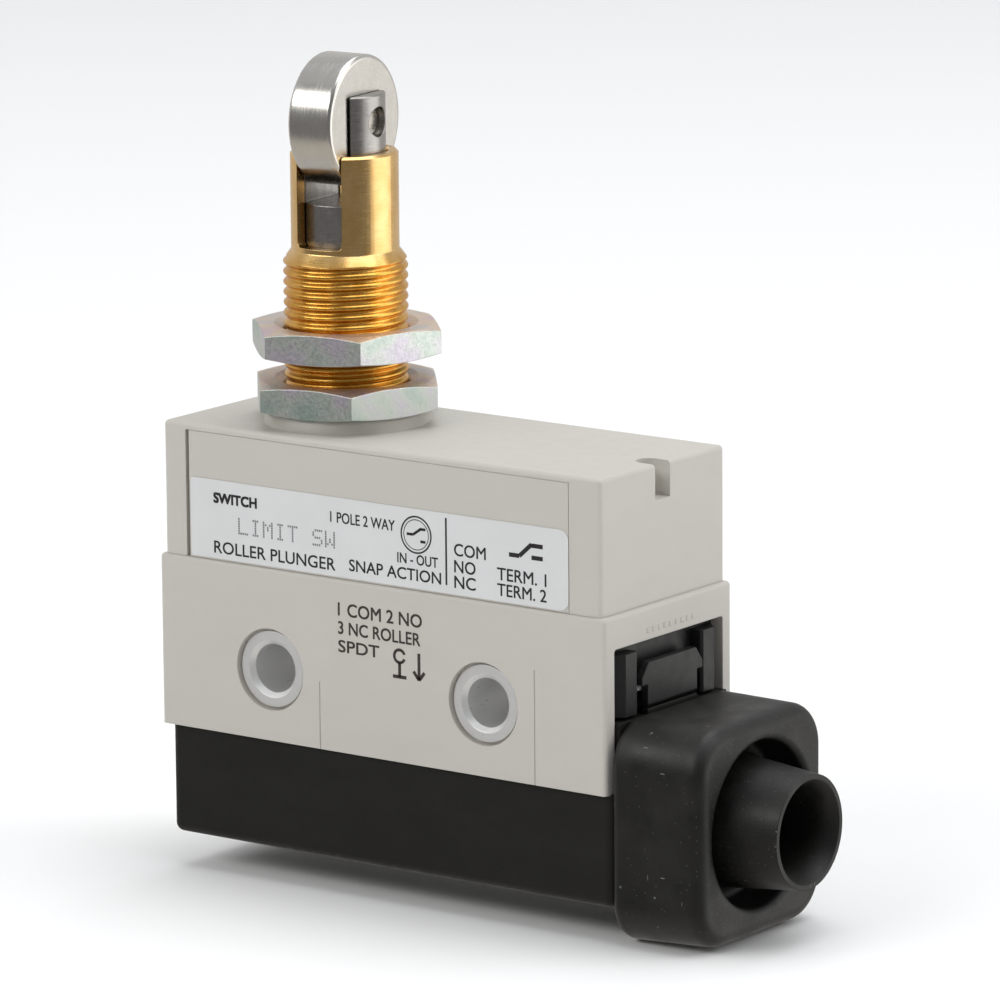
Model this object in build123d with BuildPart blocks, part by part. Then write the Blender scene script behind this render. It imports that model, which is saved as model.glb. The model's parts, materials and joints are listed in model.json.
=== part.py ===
"""Limit switch with a threaded head and a cross roller plunger.

The origin is midway between the two mounting holes, at half the thickness of the case.
+Z points up to the roller, -Y is the label side and +X is the cable end.  Millimetres.
"""

import os
from math import cos, radians, sin

from build123d import *

os.makedirs("parts", exist_ok=True)

# ---------------------------------------------------------------- driving dimensions

HOLE_PITCH = 25.4  # mounting holes, centre to centre
HOLE_R = 2.4  # bore of the eyelets, for M4 screws
EYELET_R = 3.0  # outside of an eyelet's tube
EYELET_FLANGE = (3.72, 0.35)  # radius and thickness
EYELET_LIP = (2.85, 0.45)  # funnel at each end of the bore: radius and depth
EYELET_RECESS = (4.025, 0.75)  # in both faces of the case: radius and depth

# lower case
LOWER_X = (-26.1, 26.8)
LOWER_DEPTH = 20.7  # front to back
CASE_BOTTOM = -7.0
STEP_Z = 9.9  # where the upper case starts
CORNER_R = 0.45
EDGE_R = 0.4  # around the top faces of both halves
LEG_X = (-22.0, -4.0, 20.8)  # legs of the three terminals
DIVIDER_X = (-9.2, 8.7)  # walls between the terminals
DIVIDER_SIZE = (1.2, 14.0, 3.9)
MOULD_LINES = ((-6.7, -3.7, 6.6), (18.7, -1.45, 11.1))  # x, middle height and length
MOULD_LINE = (0.10, 0.05)  # width and depth
CASE_GASKET = (1.2, 0.4, 0.6)  # groove around the cavity: outer and inner offset, depth
COVER_GASKET = ((49.4, 18.8), (47.8, 17.2), 0.5)  # outline outside and inside, depth
COVER_GASKET_X = -0.3

# upper case
UPPER_X = (-25.6, 26.2)
UPPER_DEPTH = 20.1
TOP_Z = 23.0
BOSS_R = 8.0
BOSS_TOP = 24.3

# room for the snap mechanism, inside both halves
CAVITY_X = (-23.9, 21.6)
CAVITY_DEPTH = 16.6
CAVITY_FLOOR = 5.0
CAVITY_ROOF = 20.7

# front plate of the upper case, and the label on it
PLATE_X = (-22.5, 22.5)
PLATE_TOP = 22.35
PLATE_THICK = 1.4
PLATE_GAP = 0.4  # open groove left of the plate
LABEL_X = (-22.3, 22.5)
LABEL_Z = (10.1, 17.8)
LABEL_THICK = 0.08
PLATE_OPENING = ((-21.4, 19.6), 19.6)  # opening behind the plate: its ends and its top
TOP_SLOT = (6.0, 2.4, 3.4)  # notch at the cable end: length, width and depth

# head
HEAD_X = -10.93
THREAD_R = 6.0
THREAD_PITCH = 1.0
THREAD_TOP = 39.1
GUIDE_R = 5.2  # plain upper part of the barrel
GUIDE_BOTTOM = 40.0
BARREL_TOP = 49.3
BARREL_FLOOR = 23.0  # the return spring stands here
FLANGE_R = 7.2
FLANGE_Z = (18.9, 20.4)
BARREL_SLOT = (5.0, 40.3)  # width, height of its floor
HEAD_TURN = 5.2  # degrees that the slot, the fork and the roller are turned about the head

# nuts
NUT_FLATS = 17.0
NUT_THICK = 2.9
NUT_BORE_R = THREAD_R + 0.05
NUT_SINK = (0.9, 0.55)  # countersink of the bore: radial width and depth
NUT_CORNER = 0.38  # height lost at each corner
LOWER_NUT_Z = 24.4
UPPER_NUT_Z = 29.7
LOWER_NUT_TURN = -50.3  # direction of one corner, degrees from +X
UPPER_NUT_TURN = -44.9

# plunger, roller and pin
PLUNGER_R = 4.0
PLUNGER_BOTTOM = 34.0
PLUNGER_TOP = 54.85
FORK_WIDTH = 5.2
FORK_FLOOR = 44.4
ROLLER_Z = 52.25
ROLLER_R = 6.35
ROLLER_WIDTH = 4.8
ROLLER_RIM = 0.45
AXLE_R = 1.45
AXLE_HALF = 3.0
RUNNING = 0.05  # radial clearance of a running fit
SPRING_BORE = (2.45, 43.5)  # radius and top of the plunger's blind bore
PIN_R = 1.2
PIN_HEAD_Z = (35.0, 36.0)
PIN_HEAD_R = 2.35

# snap mechanism
SHEET = 0.8  # thickness of the brass terminals
TERMINAL_WIDTH = 7.0
BLADE_Z = 10.45
BLADE_THICK = 0.25
PIVOT_X = -22.0
CONTACT_X = 7.5
CONTACT_R = 1.5
SCREW_X = (-18.0, 0.4, 17.0)
SCREW_R = 2.0

# terminal cover and cable boot
COVER_X = (-25.45, 27.3)
COVER_DEPTH = 19.7
COVER_BOTTOM = -17.9
COVER_TOP = CASE_BOTTOM - 0.02
COVER_WALL = 1.35
CABLE_Z = -10.25  # height of the cable's axis
BOOT_X = (27.3, 37.5)
BOOT_BACK = (20.7, -21.3, 0.1)  # depth, bottom and top behind
BOOT_FRONT = (20.5, -20.85, 0.1)  # and in front
SPOUT_END = 42.7
CABLE_R = 4.0

# window in the cable end, with the latch
WINDOW_DEPTH = 2.2
WINDOW_HALF = 8.85
WINDOW_TOP = 6.75
WINDOW_CORNER = 0.3
POST_Y = (5.2, 7.2)  # flat front of each post
LATCH_X = (26.45, 27.2)


def middle(span):
    return (span[0] + span[1]) / 2


def length(span):
    return span[1] - span[0]


def around_cavity(outer, inner):
    """Ring around the cavity, in the sketch that is open."""
    RectangleRounded(length(CAVITY_X) + 2 * outer, CAVITY_DEPTH + 2 * outer, outer + 1.0)
    RectangleRounded(
        length(CAVITY_X) + 2 * inner, CAVITY_DEPTH + 2 * inner, inner + 1.2, mode=Mode.SUBTRACT
    )


def finish(builder, name, turn=0.0):
    """Turn a finished piece about the head's axis, label it and write it."""
    piece = builder.part
    if turn:
        piece = piece.rotate(Axis((HEAD_X, 0, 0), (0, 0, 1)), turn)
    piece.label = name
    export_step(piece, f"parts/{name}.step")


# ---------------------------------------------------------------- lower case

with BuildPart() as lower_case:
    with BuildSketch(Plane.XY.offset(CASE_BOTTOM)):
        with Locations((middle(LOWER_X), 0)):
            RectangleRounded(length(LOWER_X), LOWER_DEPTH, CORNER_R)
    extrude(amount=STEP_Z - CASE_BOTTOM)
    fillet(lower_case.edges().group_by(Axis.Z)[-1], EDGE_R)
    # room for the mechanism
    with BuildSketch(Plane.XY.offset(STEP_Z)):
        with Locations((middle(CAVITY_X), 0)):
            RectangleRounded(length(CAVITY_X), CAVITY_DEPTH, 1.5)
    extrude(amount=CAVITY_FLOOR - STEP_Z, mode=Mode.SUBTRACT)
    # groove for the case gasket
    with BuildSketch(Plane.XY.offset(STEP_Z)):
        with Locations((middle(CAVITY_X), 0)):
            around_cavity(CASE_GASKET[0], CASE_GASKET[1])
    extrude(amount=-CASE_GASKET[2], mode=Mode.SUBTRACT)
    # groove for the cover gasket
    with BuildSketch(Plane.XY.offset(CASE_BOTTOM)):
        with Locations((COVER_GASKET_X, 0)):
            RectangleRounded(*COVER_GASKET[0], 1.4)
            RectangleRounded(*COVER_GASKET[1], 0.8, mode=Mode.SUBTRACT)
    extrude(amount=COVER_GASKET[2], mode=Mode.SUBTRACT)
    # mounting holes, recessed on both faces for the eyelets' flanges
    with BuildSketch(Plane.XZ.offset(LOWER_DEPTH / 2)):
        with GridLocations(HOLE_PITCH, 1, 2, 1):
            Circle(EYELET_R + 0.02)
    extrude(amount=-LOWER_DEPTH, mode=Mode.SUBTRACT)
    for side in (1, -1):
        with BuildSketch(Plane.XZ.offset(side * LOWER_DEPTH / 2)):
            with GridLocations(HOLE_PITCH, 1, 2, 1):
                Circle(EYELET_RECESS[0])
        extrude(amount=-side * EYELET_RECESS[1], mode=Mode.SUBTRACT)
    # window in the cable end
    with BuildSketch(Plane.YZ.offset(LOWER_X[1])):
        with BuildLine():
            FilletPolyline(
                (-WINDOW_HALF, CASE_BOTTOM - 1),
                (-WINDOW_HALF, WINDOW_TOP),
                (WINDOW_HALF, WINDOW_TOP),
                (WINDOW_HALF, CASE_BOTTOM - 1),
                radius=WINDOW_CORNER,
            )
            Line((WINDOW_HALF, CASE_BOTTOM - 1), (-WINDOW_HALF, CASE_BOTTOM - 1))
        make_face()
    extrude(amount=-WINDOW_DEPTH, mode=Mode.SUBTRACT)
    # slots for the three terminal legs and pockets for the screws' ends
    with BuildSketch(Plane.XY.offset(CASE_BOTTOM)):
        with Locations(*[(x, 0) for x in LEG_X]):
            Rectangle(SHEET + 0.1, TERMINAL_WIDTH + 0.1)
    extrude(amount=CAVITY_FLOOR - CASE_BOTTOM, mode=Mode.SUBTRACT)
    with BuildSketch(Plane.XY.offset(CASE_BOTTOM)):
        with Locations(*[(x, 0) for x in SCREW_X]):
            Circle(2.3)
    extrude(amount=3.5, mode=Mode.SUBTRACT)
    # walls between the terminals
    with BuildSketch(Plane.XY.offset(CASE_BOTTOM)):
        with Locations(*[(x, 0) for x in DIVIDER_X]):
            Rectangle(DIVIDER_SIZE[0], DIVIDER_SIZE[1])
    extrude(amount=-DIVIDER_SIZE[2])
    # mould lines on the front
    with BuildSketch(Plane.XZ.offset(LOWER_DEPTH / 2)):
        for x, z, long in MOULD_LINES:
            with Locations((x, z)):
                Rectangle(MOULD_LINE[0], long)
    extrude(amount=-MOULD_LINE[1], mode=Mode.SUBTRACT)
finish(lower_case, "lower_case")

with BuildPart() as case_gasket:
    with BuildSketch(Plane.XY.offset(STEP_Z - CASE_GASKET[2])):
        with Locations((middle(CAVITY_X), 0)):
            around_cavity(CASE_GASKET[0] - 0.02, CASE_GASKET[1] + 0.02)
    extrude(amount=CASE_GASKET[2] - 0.01)
finish(case_gasket, "case_gasket")

with BuildPart() as cover_gasket:
    with BuildSketch(Plane.XY.offset(CASE_BOTTOM)):
        with Locations((COVER_GASKET_X, 0)):
            RectangleRounded(COVER_GASKET[0][0] - 0.04, COVER_GASKET[0][1] - 0.04, 1.38)
            RectangleRounded(
                COVER_GASKET[1][0] + 0.04, COVER_GASKET[1][1] + 0.04, 0.82, mode=Mode.SUBTRACT
            )
    extrude(amount=COVER_GASKET[2] - 0.01)
finish(cover_gasket, "cover_gasket")

# ---------------------------------------------------------------- mounting eyelets

EYELET_HALF = LOWER_DEPTH / 2 - EYELET_RECESS[1] + EYELET_FLANGE[1]

with BuildPart() as mounting_eyelets:
    for x in (-HOLE_PITCH / 2, HOLE_PITCH / 2):
        with BuildSketch(Plane.YX):
            with BuildLine():
                Polyline(
                    (-EYELET_HALF, x + EYELET_LIP[0]),
                    (-EYELET_HALF, x + EYELET_FLANGE[0]),
                    (-EYELET_HALF + EYELET_FLANGE[1], x + EYELET_FLANGE[0]),
                    (-EYELET_HALF + EYELET_FLANGE[1], x + EYELET_R),
                    (EYELET_HALF - EYELET_FLANGE[1], x + EYELET_R),
                    (EYELET_HALF - EYELET_FLANGE[1], x + EYELET_FLANGE[0]),
                    (EYELET_HALF, x + EYELET_FLANGE[0]),
                    (EYELET_HALF, x + EYELET_LIP[0]),
                    (EYELET_HALF - EYELET_LIP[1], x + HOLE_R),
                    (-EYELET_HALF + EYELET_LIP[1], x + HOLE_R),
                    close=True,
                )
            make_face()
        revolve(axis=Axis((x, 0, 0), (0, 1, 0)))
finish(mounting_eyelets, "mounting_eyelets")

# ---------------------------------------------------------------- upper case

RECESS_FLOOR = UPPER_DEPTH / 2 - PLATE_THICK - 0.05

with BuildPart() as upper_case:
    with BuildSketch(Plane.XY.offset(STEP_Z)):
        with Locations((middle(UPPER_X), 0)):
            RectangleRounded(length(UPPER_X), UPPER_DEPTH, CORNER_R)
    extrude(amount=TOP_Z - STEP_Z)
    fillet(upper_case.edges().group_by(Axis.Z)[-1], EDGE_R)
    with BuildSketch(Plane.XY.offset(TOP_Z)):
        with Locations((HEAD_X, 0)):
            Circle(BOSS_R)
    extrude(amount=BOSS_TOP - TOP_Z)
    fillet(upper_case.edges().group_by(Axis.Z)[-1], 0.35)
    # room for the mechanism
    with BuildSketch(Plane.XY.offset(STEP_Z)):
        with Locations((middle(CAVITY_X), 0)):
            RectangleRounded(length(CAVITY_X), CAVITY_DEPTH, 1.5)
    extrude(amount=CAVITY_ROOF - STEP_Z, mode=Mode.SUBTRACT)
    # hole for the barrel
    with BuildSketch(Plane.XY.offset(CAVITY_ROOF)):
        with Locations((HEAD_X, 0)):
            Circle(THREAD_R + 0.05)
    extrude(amount=BOSS_TOP - CAVITY_ROOF, mode=Mode.SUBTRACT)
    # seat of the front plate, with the groove beside it, and the opening behind it
    with BuildSketch(Plane.XZ.offset(UPPER_DEPTH / 2)):
        with Locations((middle(PLATE_X) - PLATE_GAP / 2 + 0.025, (STEP_Z + PLATE_TOP) / 2)):
            Rectangle(length(PLATE_X) + PLATE_GAP + 0.05, PLATE_TOP - STEP_Z)
    extrude(amount=-(UPPER_DEPTH / 2 - RECESS_FLOOR), mode=Mode.SUBTRACT)
    with BuildSketch(Plane.XZ.offset(RECESS_FLOOR)):
        with Locations((middle(PLATE_OPENING[0]), (STEP_Z + PLATE_OPENING[1]) / 2)):
            Rectangle(length(PLATE_OPENING[0]), PLATE_OPENING[1] - STEP_Z)
    extrude(amount=-(RECESS_FLOOR - CAVITY_DEPTH / 2), mode=Mode.SUBTRACT)
    # slot in the top of the cable end
    with BuildSketch(Plane.XY.offset(TOP_Z)):
        with Locations((UPPER_X[1] + 0.2, -0.1)):
            SlotOverall(TOP_SLOT[0], TOP_SLOT[1])
    extrude(amount=-TOP_SLOT[2], mode=Mode.SUBTRACT)
finish(upper_case, "upper_case")

with BuildPart() as front_cover:
    with BuildSketch(Plane.XZ.offset(UPPER_DEPTH / 2)):
        with Locations((middle(PLATE_X), (STEP_Z + PLATE_TOP) / 2)):
            Rectangle(length(PLATE_X), PLATE_TOP - STEP_Z - 0.06)
    extrude(amount=-PLATE_THICK)
finish(front_cover, "front_cover")

with BuildPart() as rating_label:
    with BuildSketch(Plane.XZ.offset(UPPER_DEPTH / 2)):
        with Locations((middle(LABEL_X), middle(LABEL_Z))):
            Rectangle(length(LABEL_X), length(LABEL_Z))
    extrude(amount=LABEL_THICK)
    fillet(rating_label.edges().filter_by(Axis.Y).group_by(Axis.X)[-1], 1.0)
    fillet(rating_label.edges().filter_by(Axis.Y).group_by(Axis.X)[0], 0.3)
finish(rating_label, "rating_label")

# ---------------------------------------------------------------- head

THREAD_START = 24.75
THREAD_GROOVES = 15
GROOVE_HALF = 0.23  # half of a thread groove's width at the crest
FREE_GROOVE_HALF = 0.44
GROOVE_DEPTH = 0.4
SEAL_SEAT = (2.85, 1.2)  # under the barrel's floor: radius and depth
FREE_THREAD_Z = 32.75  # above the upper nut: one wider groove ends the nuts' stretch

with BuildPart() as threaded_barrel:
    with BuildSketch(Plane.XZ):
        with BuildLine():
            Polyline(
                (HEAD_X + SEAL_SEAT[0], FLANGE_Z[0]),
                (HEAD_X + FLANGE_R, FLANGE_Z[0]),
                (HEAD_X + FLANGE_R, FLANGE_Z[1]),
                (HEAD_X + THREAD_R, FLANGE_Z[1]),
                (HEAD_X + THREAD_R, THREAD_TOP),
                (HEAD_X + GUIDE_R + 0.05, GUIDE_BOTTOM),
                (HEAD_X + GUIDE_R, GUIDE_BOTTOM),
                (HEAD_X + GUIDE_R, BARREL_TOP - 0.25),
                (HEAD_X + GUIDE_R - 0.25, BARREL_TOP),
                (HEAD_X + PLUNGER_R + 0.3, BARREL_TOP),
                (HEAD_X + PLUNGER_R + 0.08, BARREL_TOP - 0.3),
                (HEAD_X + PLUNGER_R + 0.08, BARREL_FLOOR),
                (HEAD_X + PIN_R + 0.15, BARREL_FLOOR),
                (HEAD_X + PIN_R + 0.15, FLANGE_Z[0] + SEAL_SEAT[1]),
                (HEAD_X + SEAL_SEAT[0], FLANGE_Z[0] + SEAL_SEAT[1]),
                close=True,
            )
        make_face()
    revolve(axis=Axis((HEAD_X, 0, 0), (0, 0, 1)))
    # thread, as rings one pitch apart
    with BuildSketch(Plane.XZ):
        for turn in range(THREAD_GROOVES):
            z = THREAD_START + turn * THREAD_PITCH
            half = FREE_GROOVE_HALF if abs(z - FREE_THREAD_Z) < 0.1 else GROOVE_HALF
            with BuildLine():
                Polyline(
                    (HEAD_X + THREAD_R + 0.001, z - half),
                    (HEAD_X + THREAD_R + 0.001, z + half),
                    (HEAD_X + THREAD_R - GROOVE_DEPTH, z + 0.02),
                    (HEAD_X + THREAD_R - GROOVE_DEPTH, z - 0.02),
                    close=True,
                )
            make_face()
    revolve(axis=Axis((HEAD_X, 0, 0), (0, 0, 1)), mode=Mode.SUBTRACT)
    # slot for the roller
    with BuildSketch(Plane.XZ.offset(-THREAD_R)):
        with BuildLine():
            FilletPolyline(
                (HEAD_X - BARREL_SLOT[0] / 2, BARREL_TOP + 1),
                (HEAD_X - BARREL_SLOT[0] / 2, BARREL_SLOT[1]),
                (HEAD_X + BARREL_SLOT[0] / 2, BARREL_SLOT[1]),
                (HEAD_X + BARREL_SLOT[0] / 2, BARREL_TOP + 1),
                radius=0.5,
            )
            Line(
                (HEAD_X + BARREL_SLOT[0] / 2, BARREL_TOP + 1),
                (HEAD_X - BARREL_SLOT[0] / 2, BARREL_TOP + 1),
            )
        make_face()
    extrude(amount=2 * THREAD_R, mode=Mode.SUBTRACT)
finish(threaded_barrel, "threaded_barrel", HEAD_TURN)

with BuildPart() as barrel_gasket:
    with BuildSketch(Plane.XY.offset(FLANGE_Z[1])):
        with Locations((HEAD_X, 0)):
            Circle(FLANGE_R)
            Circle(THREAD_R + 0.05, mode=Mode.SUBTRACT)
    extrude(amount=CAVITY_ROOF - FLANGE_Z[1])
finish(barrel_gasket, "barrel_gasket")

with BuildPart() as pin_seal:
    with BuildSketch(Plane.XY.offset(FLANGE_Z[0])):
        with Locations((HEAD_X, 0)):
            Circle(SEAL_SEAT[0] - 0.02)
            Circle(PIN_R + RUNNING, mode=Mode.SUBTRACT)
    extrude(amount=SEAL_SEAT[1] - 0.02)
finish(pin_seal, "pin_seal")

NUT_CORNER_R = NUT_FLATS / 3**0.5

for nut_name, nut_z, nut_turn in (
    ("lower_nut", LOWER_NUT_Z, LOWER_NUT_TURN),
    ("upper_nut", UPPER_NUT_Z, UPPER_NUT_TURN),
):
    with BuildPart() as nut:
        with BuildSketch(Plane.XY.offset(nut_z)):
            with Locations((HEAD_X, 0)):
                RegularPolygon(NUT_FLATS / 2, 6, major_radius=False, rotation=nut_turn)
        extrude(amount=NUT_THICK)
        # corners turned down at both faces
        with BuildSketch(Plane.XZ, mode=Mode.PRIVATE) as turned:
            with BuildLine():
                Polyline(
                    (HEAD_X, nut_z),
                    (HEAD_X + NUT_FLATS / 2, nut_z),
                    (HEAD_X + NUT_CORNER_R, nut_z + NUT_CORNER),
                    (HEAD_X + NUT_CORNER_R, nut_z + NUT_THICK - NUT_CORNER),
                    (HEAD_X + NUT_FLATS / 2, nut_z + NUT_THICK),
                    (HEAD_X, nut_z + NUT_THICK),
                    close=True,
                )
            make_face()
        revolve(turned.sketch, axis=Axis((HEAD_X, 0, 0), (0, 0, 1)), mode=Mode.INTERSECT)
        # bore, countersunk at both ends
        with BuildSketch(Plane.XZ):
            with BuildLine():
                Polyline(
                    (HEAD_X, nut_z),
                    (HEAD_X + NUT_BORE_R + NUT_SINK[0], nut_z),
                    (HEAD_X + NUT_BORE_R, nut_z + NUT_SINK[1]),
                    (HEAD_X + NUT_BORE_R, nut_z + NUT_THICK - NUT_SINK[1]),
                    (HEAD_X + NUT_BORE_R + NUT_SINK[0], nut_z + NUT_THICK),
                    (HEAD_X, nut_z + NUT_THICK),
                    close=True,
                )
            make_face()
        revolve(axis=Axis((HEAD_X, 0, 0), (0, 0, 1)), mode=Mode.SUBTRACT)
    finish(nut, nut_name)

# ---------------------------------------------------------------- plunger and roller

SEAL_Z = 36.7
SEAL_GROOVE = (3.15, 1.0)  # radius of its floor and width
SEAL_RING = (3.6, 0.43)  # radius of the ring and of its section

with BuildPart() as plunger:
    with BuildSketch(Plane.XY.offset(PLUNGER_BOTTOM)):
        with Locations((HEAD_X, 0)):
            Circle(PLUNGER_R)
    extrude(amount=PLUNGER_TOP - PLUNGER_BOTTOM)
    chamfer(plunger.edges().group_by(Axis.Z)[-1], 0.12)
    # bore for the overtravel spring and the head of the switch pin
    with BuildSketch(Plane.XY.offset(PLUNGER_BOTTOM)):
        with Locations((HEAD_X, 0)):
            Circle(SPRING_BORE[0])
    extrude(amount=SPRING_BORE[1] - PLUNGER_BOTTOM, mode=Mode.SUBTRACT)
    # groove for the seal
    with BuildSketch(Plane.XY.offset(SEAL_Z - SEAL_GROOVE[1] / 2)):
        with Locations((HEAD_X, 0)):
            Circle(PLUNGER_R + 0.5)
            Circle(SEAL_GROOVE[0], mode=Mode.SUBTRACT)
    extrude(amount=SEAL_GROOVE[1], mode=Mode.SUBTRACT)
    # fork
    with BuildSketch(Plane.XY.offset(FORK_FLOOR)):
        with Locations((HEAD_X, 0)):
            Rectangle(FORK_WIDTH, 3 * PLUNGER_R)
    extrude(amount=PLUNGER_TOP - FORK_FLOOR, mode=Mode.SUBTRACT)
    # hole for the axle
    with BuildSketch(Plane.YZ.offset(HEAD_X - PLUNGER_R)):
        with Locations((0, ROLLER_Z)):
            Circle(AXLE_R + 0.005)
    extrude(amount=2 * PLUNGER_R, mode=Mode.SUBTRACT)
finish(plunger, "plunger", HEAD_TURN)

with BuildPart() as plunger_seal:
    with BuildSketch(Plane.XZ):
        with Locations((HEAD_X + SEAL_RING[0], SEAL_Z)):
            Circle(SEAL_RING[1])
    revolve(axis=Axis((HEAD_X, 0, 0), (0, 0, 1)))
finish(plunger_seal, "plunger_seal")

with BuildPart() as pin_retainer:
    with BuildSketch(Plane.XY.offset(PLUNGER_BOTTOM)):
        with Locations((HEAD_X, 0)):
            Circle(SPRING_BORE[0] - 0.005)
            Circle(PIN_R + 0.15, mode=Mode.SUBTRACT)
    extrude(amount=0.8)
finish(pin_retainer, "pin_retainer")

with BuildPart() as roller_axle:
    with BuildSketch(Plane.YZ.offset(HEAD_X - AXLE_HALF)):
        with Locations((0, ROLLER_Z)):
            Circle(AXLE_R)
    extrude(amount=2 * AXLE_HALF)
    chamfer(roller_axle.edges().filter_by(GeomType.CIRCLE), 0.2)
finish(roller_axle, "roller_axle", HEAD_TURN)

with BuildPart() as roller:
    with BuildSketch(Plane.YZ.offset(HEAD_X - ROLLER_WIDTH / 2)):
        with Locations((0, ROLLER_Z)):
            Circle(ROLLER_R)
            Circle(AXLE_R + RUNNING, mode=Mode.SUBTRACT)
    extrude(amount=ROLLER_WIDTH)
    rims = roller.edges().filter_by(GeomType.CIRCLE).sort_by(SortBy.RADIUS)[-2:]
    fillet(rims, ROLLER_RIM)
finish(roller, "roller", HEAD_TURN)

# ---------------------------------------------------------------- switch pin and springs

with BuildPart() as switch_pin:
    with BuildSketch(Plane.XZ):
        with BuildLine():
            tip = BLADE_Z + BLADE_THICK + 0.05
            CenterArc((HEAD_X, tip + PIN_R), PIN_R, 270, 90)
            Polyline(
                (HEAD_X + PIN_R, tip + PIN_R),
                (HEAD_X + PIN_R, PIN_HEAD_Z[0]),
                (HEAD_X + PIN_HEAD_R, PIN_HEAD_Z[0]),
                (HEAD_X + PIN_HEAD_R, PIN_HEAD_Z[1]),
                (HEAD_X, PIN_HEAD_Z[1]),
                (HEAD_X, tip),
            )
        make_face()
    revolve(axis=Axis((HEAD_X, 0, 0), (0, 0, 1)))
finish(switch_pin, "switch_pin")

for spring_name, low, high, coil_r, wire_r, coils in (
    ("return_spring", BARREL_FLOOR, PLUNGER_BOTTOM, 3.4, 0.3, 6.5),
    ("overtravel_spring", PIN_HEAD_Z[1], SPRING_BORE[1], 1.9, 0.18, 7.5),
):
    rise = high - low - 2 * wire_r - 0.04
    with BuildPart() as spring:
        with BuildLine(Plane((HEAD_X, 0, low + wire_r + 0.02))) as turns:
            Helix(pitch=rise / coils, height=rise, radius=coil_r)
        with BuildSketch(Plane(turns.line @ 0, z_dir=turns.line % 0)):
            Circle(wire_r)
        sweep(path=turns.line, is_frenet=True)
    finish(spring, spring_name)

# ---------------------------------------------------------------- snap mechanism

TAB_TOP = CASE_BOTTOM
STRIP_WIDTH = 5.0
RIVET_R = 0.79  # shank of a contact
OPEN_STRIP_Z = 6.0
CLOSED_STRIP_Z = 12.4
OPEN_FACE_Z = 8.5
CLOSED_FACE_Z = 11.4


def make_terminal(name, leg_x, leg_top, tab, screw_x, strip=None):
    """Stamped brass terminal: a tab under the case, a leg up through its floor, and a strip on top."""
    with BuildPart() as terminal:
        with BuildSketch(Plane.XY.offset(TAB_TOP - SHEET)):
            with Locations((leg_x, 0)):
                Rectangle(SHEET, TERMINAL_WIDTH)
        extrude(amount=leg_top - TAB_TOP + SHEET)
        with BuildSketch(Plane.XY.offset(TAB_TOP - SHEET)):
            with Locations((middle(tab), 0)):
                Rectangle(length(tab), TERMINAL_WIDTH)
            with Locations((screw_x, 0)):
                Circle(SCREW_R + 0.05, mode=Mode.SUBTRACT)
        extrude(amount=SHEET)
        if strip:
            with BuildSketch(Plane.XY.offset(leg_top - SHEET)):
                with Locations((middle(strip), 0)):
                    Rectangle(length(strip), STRIP_WIDTH)
                with Locations((CONTACT_X, 0)):
                    Circle(RIVET_R + 0.01, mode=Mode.SUBTRACT)
            extrude(amount=SHEET)
    finish(terminal, name)


make_terminal("common_terminal", PIVOT_X, BLADE_Z - 0.05, (-22.4, -14.0), SCREW_X[0])
make_terminal(
    "normally_open_terminal", LEG_X[1], OPEN_STRIP_Z + SHEET, (-4.4, 4.4), SCREW_X[1], (-4.4, 9.6)
)
make_terminal(
    "normally_closed_terminal", LEG_X[2], CLOSED_STRIP_Z + SHEET, (13.0, 21.2), SCREW_X[2], (5.4, 21.2)
)


def make_contact(name, face_z, head_z, strip_z):
    """Silver contact: a head from the strip to its face, and a shank riveted through the strip."""
    with BuildPart() as contact:
        with BuildSketch(Plane.XY.offset(head_z)):
            with Locations((CONTACT_X, 0)):
                Circle(CONTACT_R)
        extrude(amount=face_z - head_z)
        with BuildSketch(Plane.XY.offset(strip_z)):
            with Locations((CONTACT_X, 0)):
                Circle(RIVET_R)
        extrude(amount=SHEET)
    finish(contact, name)


make_contact("open_contact", OPEN_FACE_Z, OPEN_STRIP_Z + SHEET, OPEN_STRIP_Z)
make_contact("closed_contact", CLOSED_FACE_Z, CLOSED_STRIP_Z, CLOSED_STRIP_Z)

BLADE_X = (PIVOT_X - 0.9, 9.2)
BLADE_WINDOWS = ((-16.0, 5.6), (-2.6, 11.6))  # middle and length of the two openings in it
LEAF_X = (-8.0, -2.6, 3.2)  # ends and middle of the bowed leaf
LEAF_DROP = 1.2
LEAF_THICK = 0.18

with BuildPart() as snap_blade:
    with BuildSketch(Plane.XY.offset(BLADE_Z)):
        with Locations((middle(BLADE_X), 0)):
            RectangleRounded(length(BLADE_X), 6.0, 0.8)
        for x, long in BLADE_WINDOWS:
            with Locations((x, 0)):
                Rectangle(long, 2.6, mode=Mode.SUBTRACT)
        with Locations((CONTACT_X, 0)):
            Circle(RIVET_R + 0.01, mode=Mode.SUBTRACT)
    extrude(amount=BLADE_THICK)
    # bowed middle leaf
    with BuildSketch(Plane.XZ.offset(-0.9)):
        with BuildLine():
            left, centre, right = LEAF_X
            top = BLADE_Z + LEAF_THICK
            ThreePointArc((right, BLADE_Z), (centre, BLADE_Z - LEAF_DROP), (left, BLADE_Z))
            Line((left, BLADE_Z), (left, top))
            ThreePointArc((left, top), (centre, top - LEAF_DROP), (right, top))
            Line((right, top), (right, BLADE_Z))
        make_face()
    extrude(amount=1.8)
finish(snap_blade, "snap_blade")

with BuildPart() as moving_contact:
    with BuildSketch(Plane.XY.offset(BLADE_Z - 0.7)):
        with Locations((CONTACT_X, 0)):
            Circle(CONTACT_R)
    extrude(amount=0.7)
    with BuildSketch(Plane.XY.offset(BLADE_Z)):
        with Locations((CONTACT_X, 0)):
            Circle(RIVET_R)
    extrude(amount=BLADE_THICK)
    with BuildSketch(Plane.XY.offset(BLADE_Z + BLADE_THICK)):
        with Locations((CONTACT_X, 0)):
            Circle(CONTACT_R)
    extrude(amount=CLOSED_FACE_Z - 0.05 - BLADE_Z - BLADE_THICK)
finish(moving_contact, "moving_contact")

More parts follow.
